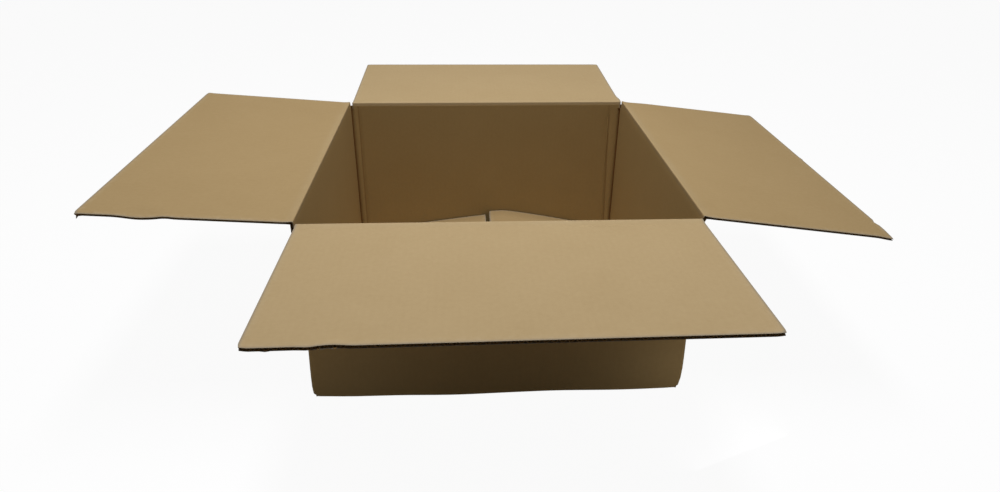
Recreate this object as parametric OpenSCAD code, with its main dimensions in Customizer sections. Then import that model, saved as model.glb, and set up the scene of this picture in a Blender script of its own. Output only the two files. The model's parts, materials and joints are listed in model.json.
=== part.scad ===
// Slotted carton of single-wall corrugated board with a square base, standing with its four top flaps open.
// One blank is scored, folded and glued: the walls and outer bottom flaps stay put, the other flaps swing on creases.
// The origin is on the floor under the middle of the walls, +Z is up and the front wall faces -Y.

/* [Carton] */
// Inside width, from the left wall to the right wall
inside_w = 400; // [240:5:600]
// Inside depth, from the front wall to the back wall
inside_d = 400; // [240:5:600]
// Inside height, from the flat bottom flaps to the shut top flaps
inside_h = 200; // [120:5:400]

/* [Board] */
// Thickness of the corrugated board
board_t = 3; // [2:0.1:5]
// Thickness of each flat paper liner
liner_t = 0.4; // [0.2:0.05:0.6]
// Thickness of the wavy paper between the liners
medium_t = 0.3; // [0.2:0.05:0.5]
// Distance from one flute to the next
flute_pitch = 6.05; // [5:0.05:9]
// Width of a flute's flat crest
crest_w = 1.4; // [0.8:0.1:2]
// How far the open flutes reach in from a flap's cut end
flute_depth = 12; // [4:1:40]
// Depth of the half flute that the cut opens along a flap's sides
side_flute = 0.9; // [0.4:0.1:1.2]

/* [Creases] */
// Outside radius of the upright corner folds
corner_r = 4; // [3.5:0.1:8]
// Outside radius of the folds under the walls
base_fold_r = 3; // [1:0.1:4]
// How far a crease line lies off the board's face
crease_off = 0.2; // [0.1:0.05:0.4]
// Radius of the rolled paper bead along a crease
bead_r = 0.6; // [0.4:0.05:1]
// Free gap round the beads and between boards that lie on each other
board_gap = 0.2; // [0.1:0.05:0.5]
// Free gap from a flap's side to the inside face of the wall beside it
flap_side = 1.5; // [0.5:0.1:4]
// How far the corner slots run past the creases
slot_run = 2.2; // [0.5:0.1:10]

/* [Top flaps] */
// Gap between two shut top flaps
top_gap = 8.4; // [1:0.2:20]
// How far the front flap is raised from level, in degrees
front_rise = 1.1; // [-15:0.1:15]
// How far the back flap is raised from level, in degrees
back_rise = 2.4; // [-15:0.1:15]
// How far the left flap is raised from level, in degrees
left_rise = 4; // [-15:0.1:15]
// How far the right flap is raised from level, in degrees
right_rise = -7.2; // [-15:0.1:15]

/* [Bottom flaps] */
// Gap between two bottom flaps that lie flat
bottom_gap = 3; // [1:0.2:20]
// How far the left bottom flap springs up, in degrees
left_spring = 6.4; // [0:0.1:20]
// How far the right bottom flap springs up, in degrees
right_spring = 9.1; // [0:0.1:20]

/* [Glue lap] */
// Width of the lap glued behind the front wall
lap_w = 35; // [20:1:50]
// How far the lap's ends taper over its width
lap_taper = 12; // [0:1:30]

/* [Hidden] */
$fn = 64;
// Overshoot of every cut past the face that it opens
cut = 20;
outer_w = inside_w + 2 * board_t;
outer_d = inside_d + 2 * board_t;
// Heights: the outer bottom flaps lie on the floor, and the inner ones lie on them
inner_bottom_z = board_t + board_gap;
floor_z = inner_bottom_z + board_t;
bottom_crease_z = floor_z + crease_off;
// The front and back top flaps shut first, the left and right ones lie on them
low_crease_z = floor_z + inside_h + board_t + crease_off;
high_crease_z = low_crease_z + board_t + board_gap;
// Flap sizes: lengths run from the crease line to the cut end
fb_flap_w = inside_w - 2 * flap_side;
lr_flap_w = inside_d - 2 * flap_side;
fb_crease = outer_d / 2 + crease_off;
lr_crease = outer_w / 2 + crease_off;
fb_flap_len = fb_crease - top_gap / 2;
lr_flap_len = lr_crease - top_gap / 2;
bottom_flap_len = (inside_w - bottom_gap) / 2;
// The corner slots end below the mitres of the lower creases, and above the folds under the walls
top_slot_z = low_crease_z - crease_off - board_t - slot_run;
bottom_slot_z = inner_bottom_z + slot_run;
// The right bottom flap keeps clear of the glue lap along its front side
lap_relief = board_t;
kraft = [0.66, 0.56, 0.41];
kraft_in = [0.62, 0.52, 0.37];

// Rectangle with round corners, centred
module round_rect(w, d, r) {
  square([w - 2 * r, d], center = true);
  square([w, d - 2 * r], center = true);
  for (sx = [-1, 1], sy = [-1, 1])
    translate([sx * (w / 2 - r), sy * (d / 2 - r)])
      circle(r);
}

// Turns a piece drawn for the back wall, outward along +Y, to another wall
module on_wall(turn, off, z) {
  rotate([0, 0, turn])
    translate([0, off, z])
      children();
}

// Extrudes a profile drawn in the outward and upward directions along the wall, centred
module along_wall(length) {
  rotate([90, 0, 90])
    linear_extrude(height = length, center = true)
      children();
}

// One open flute below the wavy paper, or above it when turned over
module flute_void(turned) {
  low = liner_t;
  high = board_t - liner_t - medium_t;
  wide = flute_pitch / 2 - crest_w / 2 - medium_t;
  translate([0, turned ? board_t : 0])
    mirror([0, turned ? 1 : 0])
      polygon([[-wide, low], [wide, low], [crest_w / 2, high], [-crest_w / 2, high]]);
}

// Flutes that show as a row of open mouths in a flap's cut end
module flute_mouths(width, length) {
  count = floor((width - 2 * (side_flute + medium_t)) / flute_pitch);
  first = -(count - 1) * flute_pitch / 2;
  translate([0, length + cut, 0])
    rotate([90, 0, 0])
      linear_extrude(height = flute_depth + cut) {
        for (i = [0 : count - 1])
          translate([first + i * flute_pitch, 0])
            flute_void(false);
        for (i = [0 : count - 2])
          translate([first + (i + 0.5) * flute_pitch, 0])
            flute_void(true);
      }
}

// Half flutes opened along a flap's two sides, from past the crushed crease to the cut end
module side_flutes(left, right, length) {
  for (x = [left - cut, right - side_flute])
    translate([x, 3 * board_t, liner_t])
      cube([side_flute + cut, length, board_t - 2 * liner_t]);
}

// Board of a top flap, its crease line on the X axis and its cut end towards +Y.
// The end by the crease is mitred, so that the flap shuts against the wall's mitre.
module top_flap_board(width, length) {
  start = crease_off + board_gap;
  top = crease_off + board_t;
  difference() {
    along_wall(width)
      difference() {
        polygon([[start, crease_off], [length, crease_off], [length, top], [start + board_t, top]]);
        circle(bead_r + board_gap);
      }
    translate([0, 0, crease_off]) {
      flute_mouths(width, length);
      side_flutes(-width / 2, width / 2, length);
    }
  }
}

// Board of an inner bottom flap, its crease line on the X axis at the wall's inside face, its cut end towards +Y.
// One side can be cut back to pass the glue lap.
module bottom_flap_board(width, length, relief) {
  left = -width / 2 + relief;
  right = width / 2;
  difference() {
    translate([(left + right) / 2, 0, 0])
      along_wall(right - left)
        difference() {
          translate([board_gap, -crease_off - board_t])
            square([length - board_gap, board_t]);
          circle(bead_r + board_gap);
        }
    translate([0, 0, -crease_off - board_t]) {
      translate([(left + right) / 2, 0, 0])
        flute_mouths(right - left, length);
      side_flutes(left, right, length);
    }
  }
}

// Removes the board above a crease, along a 45 degree mitre through the crease line
module rim_cut(turn, off, z, length) {
  on_wall(turn, off, z)
    along_wall(length)
      polygon([[cut, cut - board_gap], [cut, 2 * cut], [-cut, 2 * cut], [-cut, -cut - board_gap]]);
}

// Bead of rolled paper that a top flap turns on
module rim_bead(turn, off, z, length) {
  on_wall(turn, off, z)
    along_wall(length)
      circle(bead_r);
}

// Rounds the outside edge under a wall
module base_round(turn, off, z, length) {
  on_wall(turn, off, z)
    along_wall(length)
      difference() {
        translate([-base_fold_r, -cut])
          square([base_fold_r + cut, base_fold_r + cut]);
        translate([-base_fold_r, base_fold_r])
          circle(base_fold_r);
      }
}

// Removes the four corner posts between two heights, which leaves the slots between the flaps
module corner_slots(z_from, z_to) {
  for (sx = [-1, 1], sy = [-1, 1])
    translate([sx * (fb_flap_w / 2 + cut / 2), sy * (lr_flap_w / 2 + cut / 2), (z_from + z_to) / 2])
      cube([cut, cut, z_to - z_from], center = true);
}

// Lap of the right wall's board, glued behind the front wall, with tapered ends
module glue_lap() {
  low = bottom_slot_z;
  high = top_slot_z;
  translate([inside_w / 2, -inside_d / 2 + board_t, 0])
    rotate([90, 0, 0])
      linear_extrude(height = board_t)
        polygon([[0, low], [0, high], [-lap_w, high - lap_taper], [-lap_w, low + lap_taper]]);
}

module carton_body() {
  color(kraft_in) {
    difference() {
      union() {
        linear_extrude(height = high_crease_z)
          difference() {
            round_rect(outer_w, outer_d, corner_r);
            round_rect(inside_w, inside_d, corner_r - board_t);
          }
        for (side = [-1, 1])
          translate([0, side * (outer_d + bottom_gap) / 4, board_t / 2])
            cube([fb_flap_w, (outer_d - bottom_gap) / 2, board_t], center = true);
      }
      for (turn = [0, 180]) {
        rim_cut(turn, fb_crease, low_crease_z, fb_flap_w);
        base_round(turn, outer_d / 2, 0, outer_w + cut);
      }
      for (turn = [90, 270]) {
        rim_cut(turn, lr_crease, high_crease_z, lr_flap_w);
        base_round(turn, outer_w / 2, inner_bottom_z, lr_flap_w);
      }
      corner_slots(top_slot_z, high_crease_z + cut);
      corner_slots(-cut, bottom_slot_z);
      for (side = [-1, 1])
        translate([side * (fb_flap_w / 2 + cut / 2), 0, 0])
          cube([cut, outer_d + cut, 2 * inner_bottom_z], center = true);
    }
    glue_lap();
    for (turn = [0, 180])
      rim_bead(turn, fb_crease, low_crease_z, fb_flap_w);
    for (turn = [90, 270]) {
      rim_bead(turn, lr_crease, high_crease_z, lr_flap_w);
      rim_bead(turn, inside_w / 2, bottom_crease_z, lr_flap_w);
    }
  }
}

module back_flap() {
  color(kraft)
    on_wall(0, fb_crease, low_crease_z)
      rotate([back_rise, 0, 0])
        top_flap_board(fb_flap_w, fb_flap_len);
}

module front_flap() {
  color(kraft)
    on_wall(180, fb_crease, low_crease_z)
      rotate([front_rise, 0, 0])
        top_flap_board(fb_flap_w, fb_flap_len);
}

module left_flap() {
  color(kraft)
    on_wall(90, lr_crease, high_crease_z)
      rotate([left_rise, 0, 0])
        top_flap_board(lr_flap_w, lr_flap_len);
}

module right_flap() {
  color(kraft)
    on_wall(270, lr_crease, high_crease_z)
      rotate([right_rise, 0, 0])
        top_flap_board(lr_flap_w, lr_flap_len);
}

module left_bottom_flap() {
  color(kraft)
    on_wall(270, -inside_w / 2, bottom_crease_z)
      rotate([left_spring, 0, 0])
        bottom_flap_board(lr_flap_w, bottom_flap_len, 0);
}

module right_bottom_flap() {
  color(kraft)
    on_wall(90, -inside_w / 2, bottom_crease_z)
      rotate([right_spring, 0, 0])
        bottom_flap_board(lr_flap_w, bottom_flap_len, lap_relief);
}

carton_body();
front_flap();
back_flap();
left_flap();
right_flap();
left_bottom_flap();
right_bottom_flap();
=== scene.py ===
"""Open slotted carton of single-wall corrugated board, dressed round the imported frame.

Lengths are in metres and angles in degrees, unless a name says otherwise. The carton stands on the
floor with its front wall towards -Y. Each flap is one folded board, from the wall below its crease to its
cut end.
"""
import json
import logging
import math
from dataclasses import dataclass
from enum import Enum, IntEnum
from functools import cached_property
from typing import Any, Callable, Optional, Sequence, Union

import bpy
from mathutils import Matrix, Vector


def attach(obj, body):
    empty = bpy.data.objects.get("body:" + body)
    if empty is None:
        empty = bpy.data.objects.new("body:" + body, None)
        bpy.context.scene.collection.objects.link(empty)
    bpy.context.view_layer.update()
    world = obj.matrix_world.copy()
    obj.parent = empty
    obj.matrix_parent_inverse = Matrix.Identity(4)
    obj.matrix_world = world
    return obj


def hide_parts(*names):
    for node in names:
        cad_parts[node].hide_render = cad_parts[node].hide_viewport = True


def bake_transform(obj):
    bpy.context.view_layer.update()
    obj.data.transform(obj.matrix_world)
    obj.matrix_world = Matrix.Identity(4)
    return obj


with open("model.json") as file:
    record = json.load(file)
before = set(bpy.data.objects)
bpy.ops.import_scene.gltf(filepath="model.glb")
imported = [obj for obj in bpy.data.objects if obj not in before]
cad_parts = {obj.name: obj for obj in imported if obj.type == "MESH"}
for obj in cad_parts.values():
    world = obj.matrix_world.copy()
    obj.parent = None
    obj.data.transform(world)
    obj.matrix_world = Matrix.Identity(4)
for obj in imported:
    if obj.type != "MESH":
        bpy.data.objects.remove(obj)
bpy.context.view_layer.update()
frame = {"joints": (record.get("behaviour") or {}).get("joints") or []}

LOG = logging.getLogger("carton")
MM = 0.001
# Points nearer than TOUCH lie on each other, and points nearer than CLOSE are on the same line or face
TOUCH = 0.01 * MM
CLOSE = 0.1 * MM
# Share of a face's normal along a direction, past which it faces that way or slopes that way
FACING = 0.9
SLOPING = 0.7
Triple = tuple[float, float, float]
Colour = Triple
Range = tuple[float, float]
WHITE: Colour = (1.0, 1.0, 1.0)


class Grain(Enum):
    """The direction in which the flutes repeat under a face."""

    ACROSS_X = (1.0, 0.0)
    ACROSS_Y = (0.0, 1.0)
    ROUND_WALLS = (1.0, 1.0)


class Wall(Enum):
    """The four walls, each with the turn from the back wall, whose outward direction is +Y."""

    BACK = 0.0
    LEFT = 90.0
    FRONT = 180.0
    RIGHT = 270.0

    @property
    def grain(self) -> Grain:
        """The grain of the flaps on this wall."""
        return Grain.ACROSS_X if self in (Wall.FRONT, Wall.BACK) else Grain.ACROSS_Y


class Pick(Enum):
    """What a selection is made of."""

    POINTS = "VERT"
    EDGES = "EDGE"
    FACES = "FACE"


class Skin(IntEnum):
    """The material slots of a board."""

    FACE = 0
    CUT = 1
    OTHER = 2


class Mark(Enum):
    """Numbers that a board stores at its points for its finish."""

    EDGE_WEAR = "edge_wear"
    # Chafing along the fold, which also carries a painted highlight there
    FOLD_WEAR = "fold_wear"
    # Painted shade in the inside corners' score lines and along the false folds
    SCORE_PRESS = "score_press"


def added(operator: Callable[..., Any], **settings: Any) -> bpy.types.Object:
    """Adds an object with nothing else selected.

    Args:
        operator: Blender's operator that adds it.
        **settings: Settings of the operator.

    Returns:
        The new object.
    """
    bpy.ops.object.select_all(action="DESELECT")
    operator(**settings)
    return bpy.context.active_object


class Workpiece:
    """A mesh object that is shaped with edit-mode operators, as by hand."""

    def __init__(self, obj: bpy.types.Object) -> None:
        """Takes the object to work on."""
        self.obj = obj

    @classmethod
    def primitive(
        cls, name: str, operator: Callable[..., Any], low: Vector, high: Vector, **settings: Any
    ) -> "Workpiece":
        """Adds a primitive between two corners.

        Args:
            name: Name of the new object.
            operator: Blender's operator that adds it.
            low: Lowest corner.
            high: Highest corner, at the same height for a flat primitive.
            **settings: Other settings of the operator.

        Returns:
            The primitive as a workpiece, with its size and place in its mesh.
        """
        piece = cls(added(operator, size=1.0, location=(low + high) / 2, **settings))
        piece.obj.name = name
        piece.obj.scale = (high.x - low.x, high.y - low.y, high.z - low.z or 1.0)
        piece.settle()
        return piece

    @classmethod
    def grid(cls, name: str, low: Vector, high: Vector, cells: tuple[int, int]) -> "Workpiece":
        """Adds a flat grid between two corners, with a number of cells in x and in y."""
        counts = {"x_subdivisions": cells[0], "y_subdivisions": cells[1]}
        return cls.primitive(name, bpy.ops.mesh.primitive_grid_add, low, high, **counts)

    @classmethod
    def block(cls, name: str, low: Vector, high: Vector) -> "Workpiece":
        """Adds a block between two corners."""
        return cls.primitive(name, bpy.ops.mesh.primitive_cube_add, low, high)

    def activate(self) -> None:
        """Leaves edit mode and makes this object the only one selected."""
        if bpy.context.mode != "OBJECT":
            bpy.ops.object.mode_set(mode="OBJECT")
        bpy.ops.object.select_all(action="DESELECT")
        self.obj.select_set(True)
        bpy.context.view_layer.objects.active = self.obj

    def settle(self) -> None:
        """Puts the object's place, turn and scale into its mesh."""
        self.activate()
        bpy.ops.object.transform_apply(location=True, rotation=True, scale=True)

    def pick(self, test: Callable[..., bool], kind: Pick = Pick.POINTS) -> int:
        """Selects what passes a test, and stays in edit mode.

        Args:
            test: Takes a point's place, an edge's two places, or a face's centre and normal.
            kind: What is selected.

        Returns:
            The number of points, edges or faces that are selected.
        """
        self.activate()
        bpy.ops.object.mode_set(mode="EDIT")
        bpy.ops.mesh.select_mode(type=kind.value)
        bpy.ops.mesh.select_all(action="DESELECT")
        bpy.ops.object.mode_set(mode="OBJECT")
        points = self.obj.data.vertices
        if kind is Pick.POINTS:
            chosen = [(v, test(v.co)) for v in points]
        elif kind is Pick.EDGES:
            chosen = [(e, test(*(points[i].co for i in e.vertices))) for e in self.obj.data.edges]
        else:
            chosen = [(p, test(p.center, p.normal)) for p in self.obj.data.polygons]
        for element, passed in chosen:
            element.select = passed
        bpy.ops.object.mode_set(mode="EDIT")
        return sum(passed for _, passed in chosen)

    def pick_all(self) -> None:
        """Selects the whole mesh, and stays in edit mode."""
        self.activate()
        bpy.ops.object.mode_set(mode="EDIT")
        bpy.ops.mesh.select_all(action="SELECT")

    def extrude(self, by: Vector) -> None:
        """Extrudes the selection and moves the new part."""
        bpy.ops.mesh.extrude_region_move(TRANSFORM_OT_translate={"value": by})

    def spin(self, turn: float, centre: Vector, axis: Vector, steps: int) -> None:
        """Sweeps the selection round an axis; the operator turns against the right-hand rule.

        Args:
            turn: Angle in degrees, by the right-hand rule.
            centre: A point on the axis.
            axis: Direction of the axis.
            steps: Number of steps of the sweep.
        """
        bpy.ops.mesh.spin(steps=steps, angle=-math.radians(turn), center=centre, axis=axis)

    def move(self, by: Vector, reach: float = 0.0) -> None:
        """Moves the selection, and softly what lies within reach of it.

        Args:
            by: How far it moves.
            reach: Distance at which the soft move has faded, or 0 for none.
        """
        if reach > 0:
            bpy.ops.transform.translate(
                value=by,
                use_proportional_edit=True,
                proportional_edit_falloff="SMOOTH",
                proportional_size=reach,
            )
        else:
            bpy.ops.transform.translate(value=by)

    def bisect(self, point: Vector, normal: Vector) -> None:
        """Cuts the whole mesh along a plane and keeps both sides."""
        self.pick_all()
        bpy.ops.mesh.bisect(plane_co=point, plane_no=normal)

    def nudge(self, test: Callable[[Vector], bool], by: Vector, reach: float) -> None:
        """Moves the points that pass a test, and softly what lies round them.

        Args:
            test: Takes a point's place.
            by: How far the points move.
            reach: Distance at which the soft move has faded.
        """
        if self.pick(test):
            self.move(by, reach)
        self.activate()

    def push(self, at: Vector, by: Vector, reach: float) -> None:
        """Pushes the mesh softly at a place in space, so that pieces that meet there stay together.

        Args:
            at: Middle of the push.
            by: How far the middle moves.
            reach: Distance at which the push has faded.
        """
        ends = [added(bpy.ops.object.empty_add, location=place) for place in (at, at + by)]
        self.modify(
            "WARP", object_from=ends[0], object_to=ends[1], falloff_type="SMOOTH", falloff_radius=reach
        )
        for end in ends:
            bpy.data.objects.remove(end)

    def modify(self, kind: str, **settings: Any) -> None:
        """Adds a modifier with its settings and applies it.

        Args:
            kind: Blender's name of the modifier.
            **settings: Values of the modifier's properties.
        """
        self.activate()
        modifier = self.obj.modifiers.new(kind.title(), kind)
        for key, value in settings.items():
            setattr(modifier, key, value)
        bpy.ops.object.modifier_apply(modifier=modifier.name)

    def thicken(self, thickness: float) -> None:
        """Gives a sheet its thickness behind its outer face, with the cut edge's finish round the rim.

        Args:
            thickness: Thickness of the sheet.
        """
        self.modify(
            "SOLIDIFY",
            thickness=thickness,
            offset=-1.0,
            use_even_offset=True,
            material_offset_rim=Skin.CUT - Skin.FACE,
        )

    def merge(self, distance: float = TOUCH / 2) -> None:
        """Merges points that lie on each other.

        Args:
            distance: Greatest distance between two such points.
        """
        self.pick_all()
        bpy.ops.mesh.remove_doubles(threshold=distance)
        self.activate()

    def face(self, test: Callable[[Vector], bool], direction: Vector) -> None:
        """Makes the normals agree, with those of the faces that pass a test along a direction.

        Args:
            test: Takes a face's centre.
            direction: Direction that the normals of those faces should have.
        """
        self.pick_all()
        bpy.ops.mesh.normals_make_consistent(inside=False)
        self.activate()
        sense = sum(p.normal.dot(direction) * p.area for p in self.obj.data.polygons if test(p.center))
        if sense < 0:
            self.pick_all()
            bpy.ops.mesh.flip_normals()
            self.activate()

    def join(self, *others: "Workpiece") -> None:
        """Takes other workpieces into this one.

        Args:
            *others: The workpieces, which end as parts of this one.
        """
        self.activate()
        for other in others:
            other.obj.select_set(True)
        bpy.ops.object.join()

    def smooth(self, angle: float = 32.0) -> None:
        """Shades the mesh smooth, apart from edges sharper than an angle."""
        self.activate()
        bpy.ops.object.shade_smooth_by_angle(angle=math.radians(angle))

    def dress(self, *materials: bpy.types.Material) -> None:
        """Fills the object's material slots.

        Args:
            *materials: The materials in the order of the slots.
        """
        self.obj.data.materials.clear()
        for material in materials:
            self.obj.data.materials.append(material)

    def recoat(self, test: Callable[[Vector, Vector], bool]) -> None:
        """Gives some of the plain faces the board's other finish.

        Args:
            test: Takes a face's centre and normal.
        """
        for polygon in self.obj.data.polygons:
            if polygon.material_index == Skin.FACE and test(polygon.center, polygon.normal):
                polygon.material_index = Skin.OTHER

    def mark(self, mark: Mark, rule: Callable[[Vector], float]) -> None:
        """Stores a number at each point, for the materials.

        Args:
            mark: What the number says.
            rule: Takes a point's place and gives its number.
        """
        self.activate()
        layer = self.obj.data.attributes.new(mark.value, "FLOAT", "POINT")
        layer.data.foreach_set("value", [rule(v.co) for v in self.obj.data.vertices])

    def triangles(self) -> int:
        """Counts the triangles of the mesh."""
        self.obj.data.calc_loop_triangles()
        return len(self.obj.data.loop_triangles)


class Value:
    """A shader socket with the arithmetic that the finishes use."""

    def __init__(self, sheet: "Sheet", socket: Optional[bpy.types.NodeSocket]) -> None:
        """Takes the node sheet and the output socket, if the node has one."""
        self.sheet = sheet
        self.socket = socket

    def _math(self, operation: str, first: Any, second: Any) -> "Value":
        """Adds a Math node on two numbers or values."""
        return self.sheet.add("ShaderNodeMath", {"operation": operation}, {0: first, 1: second})

    def __add__(self, other: Any) -> "Value":
        """Adds."""
        return self._math("ADD", self, other)

    __radd__ = __add__

    def __sub__(self, other: Any) -> "Value":
        """Subtracts."""
        return self._math("SUBTRACT", self, other)

    def __rsub__(self, other: Any) -> "Value":
        """Subtracts from a number."""
        return self._math("SUBTRACT", other, self)

    def __mul__(self, other: Any) -> "Value":
        """Multiplies."""
        return self._math("MULTIPLY", self, other)

    __rmul__ = __mul__

    def sine(self) -> "Value":
        """Takes the sine."""
        return self._math("SINE", self, 0.0)

    def largest(self, other: "Value") -> "Value":
        """Takes the larger of two values."""
        return self._math("MAXIMUM", self, other)

    def size(self) -> "Value":
        """Takes the value without its sign."""
        return self.largest(self * -1.0)

    def ramp(self, low: float, high: float) -> "Value":
        """Maps a range to 0 to 1, and holds its ends.

        Args:
            low: Value that gives 0.
            high: Value that gives 1.

        Returns:
            The mapped value.
        """
        inputs = {"Value": self, "From Min": low, "From Max": high}
        return self.sheet.add("ShaderNodeMapRange", {"clamp": True}, inputs)


@dataclass(frozen=True)
class Speckle:
    """One scale of the paper's mottling, with its shares in the tone, the relief and the roughness."""

    scale: float
    detail: float
    rough: float
    tone: float
    relief: float = 0.0
    dull: float = 0.0


class Sheet:
    """The node tree of one material or world."""

    def __init__(self, tree: bpy.types.NodeTree) -> None:
        """Takes a node tree and empties it."""
        self.tree = tree
        tree.nodes.clear()

    @classmethod
    def of_material(cls, name: str) -> tuple[bpy.types.Material, "Sheet"]:
        """Makes a material with an empty sheet.

        Args:
            name: Name of the material.

        Returns:
            The material and its sheet.
        """
        material = bpy.data.materials.new(name)
        material.use_nodes = True
        return material, cls(material.node_tree)

    def add(
        self,
        kind: str,
        settings: Optional[dict[str, Any]] = None,
        inputs: Optional[dict[Union[str, int], Any]] = None,
        output: Union[str, int] = 0,
    ) -> Value:
        """Adds any node.

        Args:
            kind: Blender's name of the node type.
            settings: Properties of the node, set first.
            inputs: Values or links of its sockets, by name or number.
            output: The output that is wanted.

        Returns:
            The output as a value.
        """
        node = self.tree.nodes.new(kind)
        for key, value in (settings or {}).items():
            setattr(node, key, value)
        for key, value in (inputs or {}).items():
            if isinstance(value, Value):
                self.tree.links.new(value.socket, node.inputs[key])
            elif isinstance(value, tuple) and len(value) == 3 and node.inputs[key].type == "RGBA":
                node.inputs[key].default_value = (*value, 1.0)
            else:
                node.inputs[key].default_value = value
        return Value(self, node.outputs[output] if len(node.outputs) else None)

    def mix(self, factor: Any, first: Any, second: Any) -> Value:
        """Mixes two colours.

        Args:
            factor: Share of the second colour.
            first: First colour, or a value.
            second: Second colour, or a value.

        Returns:
            The mixed colour.
        """
        # The node has its sockets' names once for each type of data, so those of colours go by number
        inputs = {0: factor, 6: first, 7: second}
        return self.add("ShaderNodeMix", {"data_type": "RGBA"}, inputs, 2)

    def place(self) -> Value:
        """Gives the Object coordinates."""
        return self.add("ShaderNodeTexCoord", None, None, "Object")

    def parts(self, place: Value) -> list[Value]:
        """Splits coordinates into x, y and z."""
        node = self.add("ShaderNodeSeparateXYZ", None, {0: place}).socket.node
        return [Value(self, socket) for socket in node.outputs]

    def speckle(self, place: Value, kind: Speckle, stretch: Optional[Triple] = None) -> Value:
        """Adds a noise texture and gives its number.

        Args:
            place: Coordinates that it reads.
            kind: Scale and character of the noise.
            stretch: Scale of the coordinates in each direction, if they are stretched.

        Returns:
            A value about 0.5.
        """
        if stretch:
            place = self.add("ShaderNodeMapping", None, {"Vector": place, "Scale": stretch})
        inputs = {"Vector": place, "Scale": kind.scale, "Detail": kind.detail, "Roughness": kind.rough}
        return self.add("ShaderNodeTexNoise", None, inputs)

    def mark(self, mark: Mark) -> Value:
        """Reads a number that the board stores at its points."""
        return self.add("ShaderNodeAttribute", {"attribute_name": mark.value}, None, "Fac")

    def paper(self, colour: Value, rough: Value, specular: float, relief: Value, bump: Range) -> None:
        """Ends the sheet with paper's shader.

        Args:
            colour: Colour of the paper.
            rough: Its roughness.
            specular: Its specular level.
            relief: Height of its surface.
            bump: Strength and depth of that relief.
        """
        heights = {"Strength": bump[0], "Distance": bump[1], "Height": relief}
        inputs = {
            "Base Color": colour,
            "Roughness": rough,
            "Specular IOR Level": specular,
            "Normal": self.add("ShaderNodeBump", None, heights),
        }
        self.output(self.add("ShaderNodeBsdfPrincipled", None, inputs))

    def output(self, shader: Value, kind: str = "ShaderNodeOutputMaterial") -> None:
        """Adds the output of the material or world."""
        self.add(kind, None, {"Surface": shader})

    def seen(self) -> Value:
        """Tells the rays that show a surface from those that only carry its light.

        Returns:
            A value of 1 for camera, glossy and transmission rays, and 0 for all others.
        """
        rays = self.add("ShaderNodeLightPath").socket.node
        names = ("Is Camera Ray", "Is Glossy Ray", "Is Transmission Ray")
        camera, glossy, through = (Value(self, rays.outputs[name]) for name in names)
        return camera.largest(glossy).largest(through)


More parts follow.
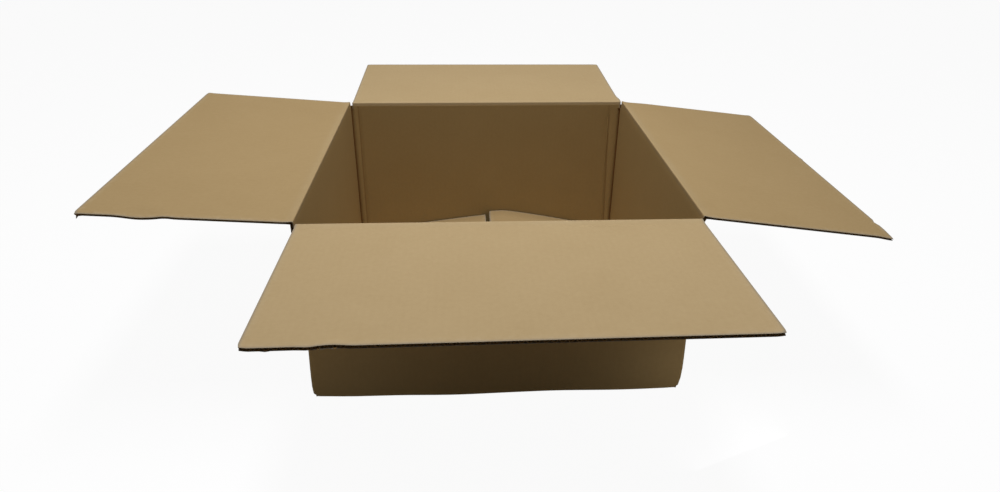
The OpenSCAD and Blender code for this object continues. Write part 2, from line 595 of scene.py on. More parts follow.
@dataclass(frozen=True)
class KraftFinish:
    """Brown kraft liner: mottled pulp, fine fibres, faint flutes, chafed folds with a painted highlight,
    greyer cut edges, and painted shade in the score lines.
    """

    name: str
    grain: Grain
    paper: Colour = (0.458, 0.337, 0.176)
    deep: Colour = (0.412, 0.296, 0.147)
    # Lighter kraft for chafed cut edges and folds; along the folds it is also a painted highlight
    worn_and_highlight: Colour = (0.500, 0.405, 0.260)
    # Greyer tint along the cut edges
    rim_grey: Colour = (0.262, 0.226, 0.168)
    # Dark brown of the painted shade in the inside corners' score lines and along the false folds
    crease_shade_colour: Colour = (0.190, 0.095, 0.028)
    pitch: float = 6.05 * MM
    wash_tone: float = 0.03
    wash_relief: float = 0.10
    cloud: Speckle = Speckle(16.0, 4.0, 0.55, 0.38)
    mottle: Speckle = Speckle(210.0, 4.0, 0.65, 0.5, 0.35, 0.12)
    pulp: Speckle = Speckle(900.0, 2.0, 0.7, 0.24, 0.3, 0.06)
    fibre: Speckle = Speckle(1.0, 2.0, 0.55, 0.12, 0.2)
    fibre_across: float = 1400.0
    fibre_along: float = 240.0
    tone_range: Range = (0.36, 0.84)
    chafe_mottle: Range = (0.35, 0.7)
    chafe_and_highlight_cloud: Range = (0.2, 0.6)
    # How much the fold lightens, as chafing and as a painted highlight
    fold_chafe_and_highlight: float = 0.3
    chafe_and_highlight: float = 0.5
    # Range and strength of the greyer tint along the cut edges
    rim_grey_range: Range = (0.62, 1.0)
    rim_grey_strength: float = 0.8
    # Range and strength of the painted crease shade
    crease_shade_range: Range = (0.1, 0.6)
    press: float = 0.95
    roughness: float = 0.84
    specular: float = 0.12
    bump: Range = (0.30, 0.12 * MM)

    def material(self) -> bpy.types.Material:
        """Makes the material.

        Returns:
            A new material that reads Object coordinates and the board's marks.
        """
        material, sheet = Sheet.of_material(self.name)
        place = sheet.place()
        x, y, _ = sheet.parts(place)
        over_flutes = x * self.grain.value[0] + y * self.grain.value[1]
        wash = (over_flutes * (2 * math.pi / self.pitch)).sine() * 0.5 + 0.5
        cloud = sheet.speckle(place, self.cloud)
        mottle = sheet.speckle(place, self.mottle)
        pulp = sheet.speckle(place, self.pulp)
        across, along = self.fibre_across, self.fibre_along
        fibres = sheet.speckle(place, self.fibre, (across, along, across))
        fibres = fibres + sheet.speckle(place, self.fibre, (along, across, across))
        layers = ((cloud, self.cloud), (mottle, self.mottle), (pulp, self.pulp), (fibres, self.fibre))
        tone = sum(value * kind.tone for value, kind in layers) - wash * self.wash_tone
        relief = sum(value * kind.relief for value, kind in layers if kind.relief) + wash * self.wash_relief
        rough = sum((value - 0.5) * kind.dull for value, kind in layers if kind.dull) + self.roughness
        colour = sheet.mix(tone.ramp(*self.tone_range), self.deep, self.paper)
        edge, fold, score = (sheet.mark(mark) for mark in Mark)
        # The fold's lighter tone is partly chafing and partly a painted highlight; at cut edges it is
        # chafing
        rubbed_and_highlight = fold * cloud.ramp(*self.chafe_and_highlight_cloud) * self.fold_chafe_and_highlight
        rubbed_and_highlight = rubbed_and_highlight.largest(edge * mottle.ramp(*self.chafe_mottle))
        colour = sheet.mix(rubbed_and_highlight * self.chafe_and_highlight, colour, self.worn_and_highlight)
        # Greyer tint along the cut edges
        colour = sheet.mix(edge.ramp(*self.rim_grey_range) * self.rim_grey_strength, colour, self.rim_grey)
        # Painted shade in the inside corners' score lines and along the false folds
        colour = sheet.mix(score.ramp(*self.crease_shade_range) * self.press, colour, self.crease_shade_colour)
        sheet.paper(colour, rough, self.specular, relief, self.bump)
        return material


@dataclass(frozen=True)
class CutFinish:
    """Raw cut edge and flute paper: darker, rougher, with torn fibres."""

    name: str
    paper: Colour = (0.400, 0.245, 0.090)
    deep: Colour = (0.215, 0.125, 0.042)
    torn: Speckle = Speckle(650.0, 4.0, 0.7, 0.7, dull=0.1)
    cloud: Speckle = Speckle(60.0, 2.0, 0.55, 0.3)
    tone_range: Range = (0.3, 0.7)
    roughness: float = 0.9
    specular: float = 0.2
    bump: Range = (0.5, 0.2 * MM)

    def material(self) -> bpy.types.Material:
        """Makes the material.

        Returns:
            A new material that reads Object coordinates.
        """
        material, sheet = Sheet.of_material(self.name)
        place = sheet.place()
        torn = sheet.speckle(place, self.torn)
        tone = torn * self.torn.tone + sheet.speckle(place, self.cloud) * self.cloud.tone
        colour = sheet.mix(tone.ramp(*self.tone_range), self.deep, self.paper)
        rough = (torn - 0.5) * self.torn.dull + self.roughness
        sheet.paper(colour, rough, self.specular, torn, self.bump)
        return material


@dataclass(frozen=True)
class FloorFinish:
    """Pale floor that shows white with a soft shadow, and gives little light back to the object."""

    name: str = "pale_floor"
    shown: Colour = (0.97, 0.97, 0.97)
    bounce: Colour = (0.42, 0.345, 0.285)
    glow: float = 0.95
    shade: Range = (0.192, 0.200)

    def material(self) -> bpy.types.Material:
        """Makes the material.

        Returns:
            A new material that splits camera rays from the others, and doesn't glow under the carton.
        """
        material, sheet = Sheet.of_material(self.name)
        x, y, _ = sheet.parts(sheet.place())
        away = x.size().largest(y.size()).ramp(*self.shade)
        dull = sheet.add("ShaderNodeBsdfDiffuse", None, {"Color": self.bounce})
        pale = sheet.add("ShaderNodeBsdfDiffuse", None, {"Color": self.shown})
        white = sheet.add("ShaderNodeEmission", None, {"Color": WHITE, "Strength": 1.0})
        bright = sheet.add("ShaderNodeMixShader", None, {0: away * self.glow, 1: pale, 2: white})
        sheet.output(sheet.add("ShaderNodeMixShader", None, {0: sheet.seen(), 1: dull, 2: bright}))
        return material


@dataclass(frozen=True)
class Board:
    """Single-wall corrugated board: two flat liners and a wavy paper between them."""

    thick: float = 3.0 * MM
    liner: float = 0.4 * MM
    medium: float = 0.3 * MM
    pitch: float = 6.05 * MM
    crest: float = 1.25
    end_inset: float = 0.2 * MM
    wave_steps: int = 10
    wave_rows: int = 22
    cell: float = 4.0 * MM


@dataclass(frozen=True)
class Dent:
    """A place on a board that handling has pushed out of true.

    All are in millimetres. across and along are measured on the board, from the middle of its crease, level
    is the height in the board, and push is in the board's own frame.
    """

    across: float
    along: float
    push: Triple
    reach: float
    level: float = 3.2


@dataclass(frozen=True)
class FalseFold:
    """A fold line dented into the back wall beside a corner, with its distances from that corner."""

    side: int
    foot: float
    rim: float
    depth: float


@dataclass
class CartonWalls:
    """The tube of four walls with its outer bottom flaps and the lap glued behind the front wall.

    false_steps holds the lines of a false fold, as steps to the side and shares of the fold's depth.
    """

    name: str = "carton_walls"
    inside: float = 400.0 * MM
    board: Board = Board()
    corner: float = 4.0 * MM
    corner_steps: int = 5
    flap_half: float = 198.5 * MM
    top: float = 204.0 * MM
    post_foot: float = 3.6 * MM
    back_post: float = 5.0 * MM
    side_foot: float = 14.0 * MM
    groove_off: float = 4.0 * MM
    groove_edge: float = 1.0 * MM
    groove: float = 1.8 * MM
    score_half: float = 4.0 * MM
    false_folds: Sequence[FalseFold] = (
        FalseFold(-1, 8.8 * MM, 10.0 * MM, 1.0 * MM),
        FalseFold(1, 8.5 * MM, 16.0 * MM, 1.4 * MM),
    )
    false_step: float = 2.0 * MM
    false_steps: Sequence[tuple[int, float]] = ((-2, 0.0), (-1, 0.5), (0, 1.0), (1, 0.5), (2, 0.0))
    false_zone: float = 30.0 * MM
    false_slack: float = 0.6 * MM
    # Strength of the painted shade along a false fold's middle line
    false_fold_shade: float = 0.34
    fold: float = 3.0 * MM
    fold_steps: int = 6
    bottom_gap: float = 3.0 * MM
    lap: float = 35.0 * MM
    lap_taper: float = 12.0 * MM
    lap_gap: float = 0.5 * MM
    lap_edge: float = 0.35 * MM
    lap_edge_steps: int = 2
    cell: float = 14.0 * MM

    @property
    def inner(self) -> float:
        """Half the inside width."""
        return self.inside / 2

    @property
    def outer(self) -> float:
        """Half the outside width."""
        return self.inner + self.board.thick

    def tube(self) -> Workpiece:
        """Makes the outside faces of the four walls, with round corners and cuts for the flaps.

        Returns:
            The tube as a bare sheet, its faces outward.
        """
        half = self.outer
        low, high = Vector((-half, -half, self.post_foot)), Vector((half, half, self.top))
        tube = Workpiece.block(self.name, low, high)
        tube.pick(lambda centre, normal: abs(normal.z) > FACING, Pick.FACES)
        bpy.ops.mesh.delete(type="FACE")
        tube.pick(lambda a, b: abs(a.z - b.z) > self.fold, Pick.EDGES)
        bpy.ops.mesh.bevel(offset=self.corner, segments=self.corner_steps, affect="EDGES")
        for side in (-1, 1):
            self.cut_both(tube, side * self.flap_half)
        tube.bisect(Vector((0, 0, self.side_foot)), Vector((0, 0, 1)))
        tube.pick(
            lambda centre, normal: abs(normal.x) > FACING
            and centre.z < self.side_foot
            and abs(centre.y) < self.flap_half,
            Pick.FACES,
        )
        bpy.ops.mesh.delete(type="FACE")
        tube.pick(
            lambda a, b: min(a.z, b.z) > self.top - TOUCH
            and min(a.y, b.y, abs(a.x), abs(b.x)) > self.flap_half - TOUCH,
            Pick.EDGES,
        )
        tube.extrude(Vector((0, 0, self.back_post)))
        tube.activate()
        return tube

    def cut_both(self, tube: Workpiece, at: float) -> None:
        """Cuts the sheet of the walls upright, at one distance from the middle in x and in y."""
        tube.bisect(Vector((at, 0, 0)), Vector((1, 0, 0)))
        tube.bisect(Vector((0, at, 0)), Vector((0, 1, 0)))

    def bottom_flaps(self, tube: Workpiece) -> None:
        """Folds the outer bottom flaps in from the front and back walls.

        Args:
            tube: The sheet of the walls.
        """
        reach = self.outer - self.fold - self.bottom_gap / 2
        for side in (-1, 1):
            tube.pick(
                lambda p: abs(p.y - side * self.outer) < TOUCH
                and p.z < self.post_foot + TOUCH
                and abs(p.x) < self.flap_half + TOUCH
            )
            tube.extrude(Vector((0, 0, self.fold - self.post_foot)))
            centre = Vector((0, side * (self.outer - self.fold), self.fold))
            tube.spin(-side * 90.0, centre, Vector((1, 0, 0)), self.fold_steps)
            tube.extrude(Vector((0, -side * reach, 0)))
        tube.activate()

    def divide(self, tube: Workpiece) -> None:
        """Cuts the walls into cells that dents can move, and along the edges of the score lines.

        Args:
            tube: The sheet of the walls.
        """
        count = round(2 * self.flap_half / self.cell)
        for step in range(1, count):
            self.cut_both(tube, self.flap_half * (2 * step / count - 1))
        for off in (self.groove_off, self.groove_off + self.groove_edge):
            for side in (-1, 1):
                self.cut_both(tube, side * (self.inner - off))
        height = self.top - self.side_foot
        rows = round(height / self.cell)
        for step in range(1, rows):
            tube.bisect(Vector((0, 0, self.side_foot + height * step / rows)), Vector((0, 0, 1)))
        tube.activate()

    def score_corners(self, walls: Workpiece) -> None:
        """Presses the score lines of the upright folds into the inside faces, and marks painted shade along
        them.

        Args:
            walls: The walls with their thickness.
        """
        near, far = self.inner - self.groove_off + CLOSE, self.inner + 2 * CLOSE

        def press(p: Vector) -> float:
            """Gives the painted shade: 1 in the score of an inside corner, and 0 a few millimetres off and
            on the outside.
            """
            low, high = sorted((abs(p.x), abs(p.y)))
            return max(0.0, 1.0 - (self.inner - low) / self.score_half) if high < self.inner + CLOSE else 0.0

        walls.mark(Mark.SCORE_PRESS, press)
        for sx in (-1, 1):
            for sy in (-1, 1):
                walls.pick(lambda p: near < sx * p.x < far and near < sy * p.y < far)
                walls.move(Vector((sx, sy, 0)) * self.groove)
        walls.activate()

    def press_false(self, walls: Workpiece, line: FalseFold) -> None:
        """Presses a false fold into the inside of the back wall, and paints shade along its middle line.

        Args:
            walls: The walls with their thickness.
            line: Place and depth of the fold.
        """
        side, inner = line.side, self.inner
        clear = inner - self.groove_off
        low = Vector((side * (inner - line.foot), 0, 0))
        along = Vector((side * (inner - line.rim), 0, self.top)) - low
        normal = Vector((along.z, 0, -along.x)).normalized()

        def on_line(p: Vector, off: float) -> bool:
            """Tells whether a point of the inside face lies on the line at a distance from the fold."""
            on_face = abs(p.y - inner) < CLOSE and side * p.x < clear - CLOSE
            return on_face and abs((p - low).dot(normal) - off) < CLOSE / 2

        for step, _ in self.false_steps:
            walls.pick(
                lambda centre, face: abs(centre.y - inner) < self.false_slack
                and inner - self.false_zone < side * centre.x < clear,
                Pick.FACES,
            )
            bpy.ops.mesh.bisect(plane_co=low + normal * step * self.false_step, plane_no=normal)
        walls.activate()
        # Painted shade along the middle line of each false fold
        crease_shades = walls.obj.data.attributes[Mark.SCORE_PRESS.value].data
        for tone, point in zip(crease_shades, walls.obj.data.vertices):
            if on_line(point.co, 0.0):
                tone.value = max(tone.value, self.false_fold_shade)
        for step, share in self.false_steps:
            walls.pick(lambda p: on_line(p, step * self.false_step) and p.z < self.top - CLOSE)
            walls.move(Vector((0, share * line.depth, 0)))
        walls.activate()

    def glue_lap(self) -> Workpiece:
        """Makes the lap of the right wall that is glued behind the front wall, with tapered ends.

        Returns:
            The lap as a workpiece.
        """
        low = Vector((self.inner - self.lap, -self.inner, self.post_foot))
        high = Vector((self.inner - self.lap_gap, self.board.thick - self.inner, self.top))
        lap = Workpiece.block(f"{self.name}_lap", low, high)
        lap.pick(lambda p: p.x < low.x + TOUCH)
        taper = 1 - 2 * self.lap_taper / (high.z - low.z)
        bpy.ops.transform.resize(value=(1, 1, taper), center_override=(low + high) / 2)
        lap.pick_all()
        bpy.ops.mesh.bevel(offset=self.lap_edge, segments=self.lap_edge_steps, affect="EDGES")
        lap.activate()
        return lap

    def build(
        self, face: bpy.types.Material, cut: bpy.types.Material, under: bpy.types.Material
    ) -> Workpiece:
        """Makes the walls, gives them their thickness and puts them on the carton's body.

        Args:
            face: Finish of the walls.
            cut: Finish of the cut edges.
            under: Finish of the bottom flaps.

        Returns:
            The finished piece.
        """
        walls = self.tube()
        self.bottom_flaps(walls)
        self.divide(walls)
        walls.merge()
        walls.face(lambda p: p.y < CLOSE - self.outer, Vector((0, -1, 0)))
        walls.thicken(self.board.thick)
        walls.merge(CLOSE / 2)
        self.score_corners(walls)
        for line in self.false_folds:
            self.press_false(walls, line)
        walls.dress(face, cut, under)
        walls.recoat(lambda centre, normal: abs(normal.z) > SLOPING and centre.z < self.post_foot)
        lap = self.glue_lap()
        lap.dress(face)
        walls.join(lap)
        handle(walls)
        walls.smooth()
        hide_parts("carton_body")
        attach(walls.obj, "carton")
        return walls


@dataclass
class FoldedFlap:
    """A flap with the strip of wall below its crease, as one folded board.

    It is built in the flap's own frame: the crease is the X axis, the flap runs out along +Y, its nearer
    face lies just above the crease, and the wall hangs down beside the crease. rise is the flap's angle over
    level, wider is its width past the cuts in the walls, shorter is how far it ends from the middle of the
    carton when shut, and shift and twist are how it sits out of true. Bows, as along, lift and reach, and
    the blunt and trim of the two sides are in millimetres.
    """

    body: str
    wall: Wall
    walls: CartonWalls
    rise: float
    wider: float = 0.75 * MM
    shorter: float = 4.2 * MM
    wall_near: float = 0.2 * MM
    flap_near: float = 0.2 * MM
    turned_over: bool = False
    shift: float = 0.0
    twist: float = 0.0
    far_radius: float = 1.1 * MM
    near_radius: float = 0.2 * MM
    bend_steps: int = 6
    lean: float = 5.0
    score_drop: float = 4.6 * MM
    relief: float = 0.0
    medium_start: float = 9.0 * MM
    blend_half: float = 2.8 * MM
    ridge: float = 0.9 * MM
    ridge_back: float = 2.2 * MM
    ridge_half: float = 1.2 * MM
    ridge_reach: float = 9.0 * MM
    crush: float = 0.4 * MM
    blunt: Range = (1.2, 1.2)
    blunt_reach: float = 7.0 * MM
    trim: Range = (0.0, 0.0)
    bows: Sequence[Triple] = ()
    bow_half: float = 2.4 * MM
    dents: Sequence[Dent] = ()
    edge_reach: float = 7.0 * MM
    fold_flat: float = 2.0 * MM
    fold_reach: float = 5.0 * MM
    fold_drop: float = 4.0
    board: Board = Board()

    @property
    def name(self) -> str:
        """Name of the piece."""
        return f"{self.body}_board"

    @cached_property
    def crease(self) -> Vector:
        """Middle of the crease, where the frame has the flap's hinge."""
        return next(Vector(joint["pos_m"]) for joint in frame["joints"] if joint["child"] == self.body)

    @cached_property
    def width(self) -> float:
        """Width of the flap."""
        return 2 * self.walls.flap_half + self.wider

    @cached_property
    def length(self) -> float:
        """Distance from the crease to the cut end."""
        return self.crease.xy.length - self.shorter

    @property
    def band(self) -> float:
        """Height of the strip of wall."""
        return self.crease.z - self.walls.top

    @property
    def far(self) -> float:
        """Height of the flap's farther face."""
        return self.flap_near + self.board.thick

    @property
    def middle(self) -> float:
        """Height of the middle of the flap's board."""
        return self.flap_near + self.board.thick / 2

    def _from_wall(self, y: float, z: float) -> Vector:
        """Turns a direction or place in the wall's frame into the flap's frame."""
        c, s = math.cos(math.radians(self.rise)), math.sin(math.radians(self.rise))
        return Vector((0.0, c * y + s * z, c * z - s * y))

    def liner(
        self, label: str, height: float, radius: float, lean: float, path: Sequence[Vector]
    ) -> Workpiece:
        """Makes one liner: a flat sheet that is swept round the bend and on down the wall.

        Args:
            label: Ending of the object's name.
            height: Height of its outer face.
            radius: Radius of the bend.
            lean: Angle to the wall at which it leaves the bend.
            path: Places that it then runs to.

        Returns:
            The liner with its thickness.
        """
        slope = math.radians(lean)
        normal = self._from_wall(-math.cos(slope), math.sin(slope))
        level = height - radius
        centre = Vector((0.0, (path[0].dot(normal) - radius - normal.z * level) / normal.y, level))
        low = Vector((-self.width / 2, centre.y, height))
        high = Vector((self.width / 2 - self.relief, self.length, height))
        cells = (round((high.x - low.x) / self.board.cell), round((high.y - low.y) / self.board.cell))
        liner = Workpiece.grid(f"{self.name}_{label}", low, high, cells)
        liner.pick(lambda p: p.y < centre.y + TOUCH)
        liner.spin(90.0 - lean - self.rise, centre, Vector((1, 0, 0)), self.bend_steps)
        start = centre + normal * radius
        for place in path:
            for _ in range(2):
                liner.extrude((place - start) / 2)
            start = place
        outward = Vector((0, 0, height - self.middle))
        liner.face(lambda p: p.y > self.length / 2, outward)
        liner.thicken(self.board.liner)
        return liner

    def flutes(self) -> Workpiece:
        """Makes the wavy paper: one flute, then a row of them.

        Returns:
            The wavy paper with its thickness.
        """
        board = self.board
        width = self.width - self.relief
        count = round(width / board.pitch)
        pitch = width / count
        start = -self.width / 2
        swing = board.thick / 2 - board.liner - board.medium / 2
        low = Vector((start, self.medium_start, self.middle))
        high = Vector((start + pitch, self.length - board.end_inset, self.middle))
        flute = Workpiece.grid(f"{self.name}_flutes", low, high, (board.wave_steps, board.wave_rows))
        for step in range(board.wave_steps + 1):
            share = step / board.wave_steps
            height = max(-1.0, min(1.0, board.crest * math.cos(2 * math.pi * share)))
            flute.pick(lambda p: abs(p.x - start - pitch * share) < 2 * TOUCH)
            flute.move(Vector((0, 0, height * swing)))
        flute.modify(
            "ARRAY",
            count=count,
            use_relative_offset=False,
            use_constant_offset=True,
            constant_offset_displace=(pitch, 0.0, 0.0),
            use_merge_vertices=True,
            merge_threshold=TOUCH,
        )
        flute.modify("SOLIDIFY", thickness=board.medium, offset=0.0)
        return flute

    def wear(self, piece: Workpiece) -> None:
        """Stores how near each point is to a cut edge and to the fold.

        Args:
            piece: The joined board, still in the flap's frame.
        """

        def edge(p: Vector) -> float:
            """Gives 1 at a cut edge and 0 a few millimetres in."""
            gap = min(self.length - p.y, self.width / 2 - abs(p.x))
            return max(0.0, 1.0 - gap / self.edge_reach)

        def fold(p: Vector) -> float:
            """Gives 1 on the fold and 0 a few millimetres off, and sooner down the wall."""
            gap = Vector((0.0, p.y, self.fold_drop * min(0.0, p.z))).length
            return max(0.0, 1.0 - max(0.0, gap - self.fold_flat) / self.fold_reach)

        piece.mark(Mark.EDGE_WEAR, edge)
        # The fold mark lightens the kraft as chafing and as a painted highlight
        piece.mark(Mark.FOLD_WEAR, fold)

    def shape(self, piece: Workpiece) -> None:
        """Raises the ridge along the fold, bows the board, blunts its corners and dents it.

        Args:
            piece: The joined board, still in the flap's frame.
        """
        if self.ridge:
            piece.nudge(
                lambda p: abs(p.y + self.ridge_back) < self.ridge_half and p.z > self.far - self.ridge_half,
                Vector((0, 0, self.ridge)),
                self.ridge_reach,
            )
        for along, lift, reach in self.bows:
            row = along * MM
            piece.nudge(lambda p: abs(p.y - row) < self.bow_half, Vector((0, 0, lift * MM)), reach * MM)
        half = self.width / 2
        for side, blunt in zip((-1, 1), self.blunt):
            corner = Vector((side * half, self.length, self.middle))
            piece.push(corner, Vector((-side, -1.0, 0.0)) * blunt * MM, self.blunt_reach)
        cut = half - self.relief
        for sense in (-1, 1):
            piece.pick(
                lambda p: abs(p.x) > cut - 2 * CLOSE and p.y > 0 and sense * (p.z - self.middle) > 0
            )
            piece.move(Vector((0, 0, -sense * self.crush)))
        for side, trim in zip((-1, 1), self.trim):
            piece.pick(lambda p: side * p.x > cut - CLOSE and p.z < -3 * CLOSE)
            piece.move(Vector((-side * trim * MM, 0, 0)))
        piece.activate()
        for dent in self.dents:
            spot = Vector((dent.across, dent.along, dent.level)) * MM
            piece.push(spot, Vector(dent.push) * MM, dent.reach * MM)

    def frame_matrix(self) -> Matrix:
        """Finds how the wall's frame of this flap lies in the carton's frame.

        Returns:
            The matrix from the wall's frame to the carton's.
        """
        over = Matrix.Rotation(math.pi if self.turned_over else 0.0, 4, "Y")
        turn = Matrix.Rotation(math.radians(self.wall.value), 4, "Z")
        return Matrix.Translation(self.crease) @ turn @ over

    def build(
        self, face: bpy.types.Material, cut: bpy.types.Material, strip: bpy.types.Material
    ) -> Workpiece:
        """Makes the board, dents it and puts it in place.

        Args:
            face: Finish of the liners.
            cut: Finish of the cut edges and the flutes.
            strip: Finish of the strip of wall.

        Returns:
            The finished piece.
        """
        far_wall = self.wall_near + self.board.thick
        far_path = [self._from_wall(-far_wall, -drop) for drop in (self.score_drop, self.band)]
        near_path = [self._from_wall(-self.wall_near, -self.band)]
        piece = self.liner("far", self.far, self.far_radius, self.lean, far_path)
        near = self.liner("near", self.flap_near, self.near_radius, 0.0, near_path)
        medium = self.flutes()
        for liner in (piece, near):
            liner.dress(face, cut, strip)
            liner.recoat(lambda centre, normal: centre.z < -2 * CLOSE)
        medium.dress(cut)
        piece.join(near, medium)
        piece.obj.name = self.name
        self.wear(piece)
        self.shape(piece)
        if self.twist:
            twist = math.radians(-self.twist)
            piece.modify("SIMPLE_DEFORM", deform_method="TWIST", deform_axis="Y", angle=twist)
        slide = Matrix.Translation(Vector((self.shift, 0, 0)))
        rise = Matrix.Rotation(math.radians(self.rise), 4, "X")
        piece.obj.matrix_world = self.frame_matrix() @ slide @ rise
        piece.settle()
        if self.turned_over:
            handle(piece)
        piece.smooth()
        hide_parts(self.body)
        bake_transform(piece.obj)
        return piece


@dataclass
class SideFlap(FoldedFlap):
    """A top flap on the left or right wall, with a steeper strip of wall and a lower ridge on its fold."""

    wider: float = 1.2 * MM
    shorter: float = 4.7 * MM
    lean: float = 2.0
    ridge: float = 0.5 * MM


@dataclass
class BottomFlap(FoldedFlap):
    """An inner bottom flap, with a rounder fold.

    It is built upside down, so its wall is the one across from its own.
    """

    wider: float = 0.0
    shorter: float = 0.5 * MM
    wall_near: float = 0.0
    turned_over: bool = True
    far_radius: float = 2.4 * MM
    near_radius: float = 0.1 * MM
    lean: float = 0.0
    score_drop: float = 2.0 * MM
    ridge: float = 0.0

    @property
    def band(self) -> float:
        """Height of the strip of wall."""
        return self.walls.side_foot - self.crease.z


@dataclass
class Studio:
    """Floor, light and the camera at the photograph's viewing angle."""

    image_width: float = 1000.0
    focal: float = 693.46
    yaw: float = -3.284
    pitch: float = 28.102
    roll: float = 0.682
    eye: Triple = (-35.81 * MM, -807.30 * MM, 510.37 * MM)
    sensor: float = 36.0
    clip_start: float = 0.02
    floor_half: float = 8.0
    surround: Colour = (1.0, 0.98, 0.95)
    ambient: float = 0.05
    lamp_height: float = 1.5
    lamp_size: Range = (0.30, 0.8)
    lamp_power: float = 18.5
    lamp_colour: Colour = (0.98, 0.98, 1.02)
    fill_size: Range = (0.12, 0.06)
    fills: Sequence[tuple[str, Triple, float]] = (
        ("fill_left", (-0.26, -0.42, 0.03), 0.040),
        ("fill_right", (0.24, -0.30, 0.03), 0.0235),
    )
    fill_aim: Triple = (0.2, -0.2, 0.02)

    def camera(self) -> None:
        """Adds the camera and makes it the scene's own."""
        camera = added(bpy.ops.object.camera_add, location=self.eye)
        camera.name = "photo_camera"
        camera.data.sensor_width = self.sensor
        camera.data.lens = self.sensor * self.focal / self.image_width
        camera.data.clip_start = self.clip_start
        yaw = Matrix.Rotation(math.radians(self.yaw), 3, "Z")
        pitch = Matrix.Rotation(math.radians(90.0 - self.pitch), 3, "X")
        roll = Matrix.Rotation(math.radians(self.roll), 3, "Z")
        camera.rotation_euler = (yaw @ pitch @ roll).to_euler()
        bpy.context.scene.camera = camera

    def floor(self, finish: FloorFinish) -> None:
        """Lays the floor.

        Args:
            finish: The floor's finish.
        """
        corner = Vector((self.floor_half, self.floor_half, 0))
        floor = Workpiece.grid("studio_floor", -corner, corner, (2, 2))
        floor.dress(finish.material())

    def lamp(self, name: str, place: Vector, aim: Vector, size: Range, power: float) -> None:
        """Adds one soft rectangular lamp.

        Args:
            name: Name of the lamp.
            place: Middle of the lamp.
            aim: Point that it faces.
            size: Width and depth.
            power: Power in watts.
        """
        lamp = added(bpy.ops.object.light_add, type="AREA", location=place)
        lamp.name = name
        lamp.rotation_euler = (aim - place).to_track_quat("-Z", "Y").to_euler()
        lamp.data.shape = "RECTANGLE"
        lamp.data.size, lamp.data.size_y = size
        lamp.data.energy = power
        lamp.data.color = self.lamp_colour
        lamp.visible_camera = False

    def light(self) -> None:
        """Hangs a soft lamp overhead, stands a weak fill at each side in front, and dims the surround."""
        above = Vector((0, 0, self.lamp_height))
        self.lamp("overhead_softbox", above, Vector((0, 0, 0)), self.lamp_size, self.lamp_power)
        for name, place, power in self.fills:
            aim = Vector(self.fill_aim)
            aim.x = math.copysign(aim.x, place[0])
            self.lamp(name, Vector(place), aim, self.fill_size, power)
        world = bpy.data.worlds.new("studio")
        bpy.context.scene.world = world
        world.use_nodes = True
        sheet = Sheet(world.node_tree)
        dim = sheet.add("ShaderNodeBackground", None, {"Color": self.surround, "Strength": self.ambient})
        white = sheet.add("ShaderNodeBackground", None, {"Color": WHITE, "Strength": 1.0})
        shader = sheet.add("ShaderNodeMixShader", None, {0: sheet.seen(), 1: dim, 2: white})
        sheet.output(shader, "ShaderNodeOutputWorld")
        bpy.context.scene.view_settings.view_transform = "Standard"


# Where the carton's foot has been pushed: the place, the push and its reach, in millimetres
FOOT_PUSHES = (
    ((-203.0, -203.0, 0.0), (-3.0, 0.0, 0.0), 95.0),
    ((-203.0, -203.0, 0.0), (0.0, 1.6, 0.0), 45.0),
    ((-206.0, -203.0, 0.0), (2.0, 0.0, 0.8), 10.0),
    ((203.0, -203.0, 15.0), (2.3, 0.0, 0.0), 78.0),
    ((203.0, -203.0, 0.0), (0.0, 1.2, 0.0), 60.0),
    ((-50.0, -203.0, 0.0), (0.0, -1.5, 0.0), 68.0),
    ((64.0, -203.0, 0.0), (0.0, 1.3, 0.0), 70.0),
    ((206.0, -203.0, 0.0), (-2.0, 0.4, 0.3), 20.0),
)
FRONT_DENTS = (
    Dent(132.0, 199.0, (0.0, 0.0, 1.1), 17.0),
    Dent(150.0, 199.0, (0.0, 0.0, -0.5), 9.0),
    Dent(140.3, 199.0, (0.0, 2.4, -0.3), 3.4, 0.2),
    Dent(129.4, 199.0, (0.0, 2.4, -0.3), 3.4, 0.2),
    Dent(178.5, 199.0, (0.0, 0.3, -0.5), 3.0, 0.2),
)
BACK_DENTS = (Dent(198.5, 9.0, (2.6, 0.0, 0.0), 22.0),)
LEFT_DENTS = (
    Dent(-199.4, 140.0, (0.0, 0.0, -1.8), 26.0),
    Dent(-199.4, 116.0, (0.0, 0.0, 0.6), 12.0),
    Dent(-199.2, 199.0, (0.0, -1.5, -3.8), 6.4, -1.0),
)
RIGHT_DENTS = (
    Dent(-198.5, 0.0, (3.5, 0.0, 0.0), 40.0),
    Dent(-18.0, 199.0, (0.0, 1.8, 0.5), 3.0),
    Dent(164.5, 199.0, (0.0, -1.4, -0.6), 6.0),
    Dent(199.0, 199.0, (0.6, 0.2, -1.0), 20.0),
)


def handle(piece: Workpiece) -> None:
    """Gives a piece the wear of handling at the carton's foot, in the carton's own frame.

    Args:
        piece: A piece that is in place.
    """
    for at, by, reach in FOOT_PUSHES:
        piece.push(Vector(at) * MM, Vector(by) * MM, reach * MM)


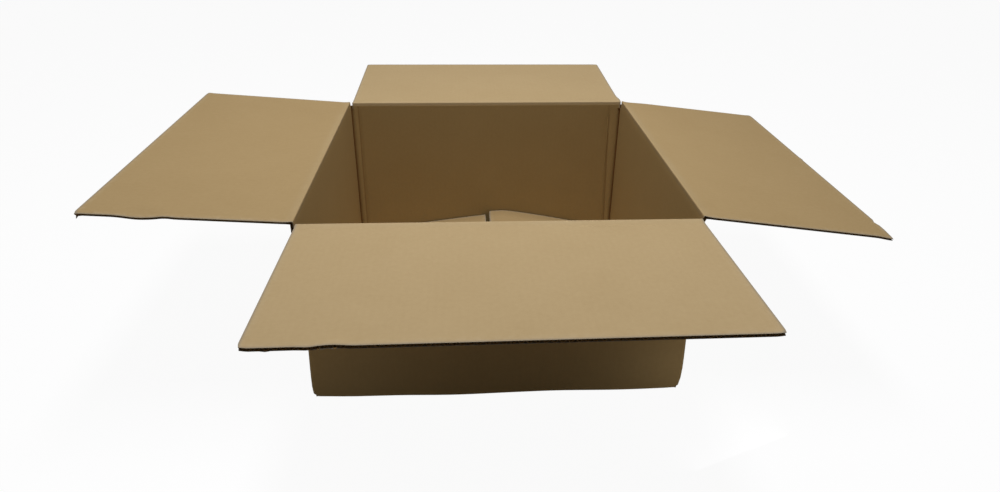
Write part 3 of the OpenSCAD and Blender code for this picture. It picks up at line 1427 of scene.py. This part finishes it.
def set_out(walls: CartonWalls) -> list[FoldedFlap]:
    """Sets out the flaps on the walls.

    Args:
        walls: The walls that the flaps hang on.

    Returns:
        The four top flaps, front first, and then the two inner bottom flaps, left first.
    """
    return [
        FoldedFlap(
            "front_flap",
            Wall.FRONT,
            walls,
            rise=1.1,
            shift=-0.62 * MM,
            twist=-0.43,
            blunt=(1.2, 1.6),
            dents=FRONT_DENTS,
        ),
        FoldedFlap(
            "back_flap",
            Wall.BACK,
            walls,
            rise=2.4,
            shift=0.74 * MM,
            twist=-0.08,
            bows=((199.0, 0.25, 140.0),),
            dents=BACK_DENTS,
        ),
        SideFlap(
            "left_flap",
            Wall.LEFT,
            walls,
            rise=4.0,
            shift=-2.60 * MM,
            twist=0.37,
            blunt=(0.3, 1.0),
            dents=LEFT_DENTS,
        ),
        SideFlap(
            "right_flap",
            Wall.RIGHT,
            walls,
            rise=-7.2,
            shift=2.80 * MM,
            twist=-0.42,
            blunt=(1.2, 0.1),
            trim=(0.0, 3.0),
            dents=RIGHT_DENTS,
        ),
        BottomFlap("left_bottom_flap", Wall.RIGHT, walls, rise=-6.4, bows=((198.5, -2.2, 170.0),)),
        BottomFlap(
            "right_bottom_flap",
            Wall.LEFT,
            walls,
            rise=-9.1,
            shorter=1.3 * MM,
            relief=3.0 * MM,
            bows=((150.0, -4.4, 150.0), (198.5, 3.4, 26.0)),
        ),
    ]


def main() -> None:
    """Builds the studio and the carton, and reports each piece."""
    logging.basicConfig(level=logging.INFO, format="%(message)s")
    studio = Studio()
    studio.camera()
    studio.floor(FloorFinish())
    studio.light()
    cut = CutFinish("cut_edge").material()
    finishes = (
        # The front and back flaps carry the kraft as lit; the side flaps, the inner bottom flaps and the
        # walls get darker copies of the same paper as painted shade
        KraftFinish("kraft_front_back", Grain.ACROSS_X),
        KraftFinish("kraft_left_right_shaded", Grain.ACROSS_Y, (0.390, 0.275, 0.130), (0.350, 0.241, 0.108)),
        KraftFinish("kraft_walls_shaded", Grain.ROUND_WALLS, (0.430, 0.300, 0.130), (0.386, 0.262, 0.107)),
    )
    faces = {finish.grain: finish.material() for finish in finishes}
    walls = CartonWalls()
    made = [walls.build(faces[Grain.ROUND_WALLS], cut, faces[Grain.ACROSS_X])]
    for flap in set_out(walls):
        made.append(flap.build(faces[flap.wall.grain], cut, faces[Grain.ROUND_WALLS]))
    for piece in made:
        LOG.info("%s: %d triangles", piece.obj.name, piece.triangles())


if __name__ == "__main__":
    main()
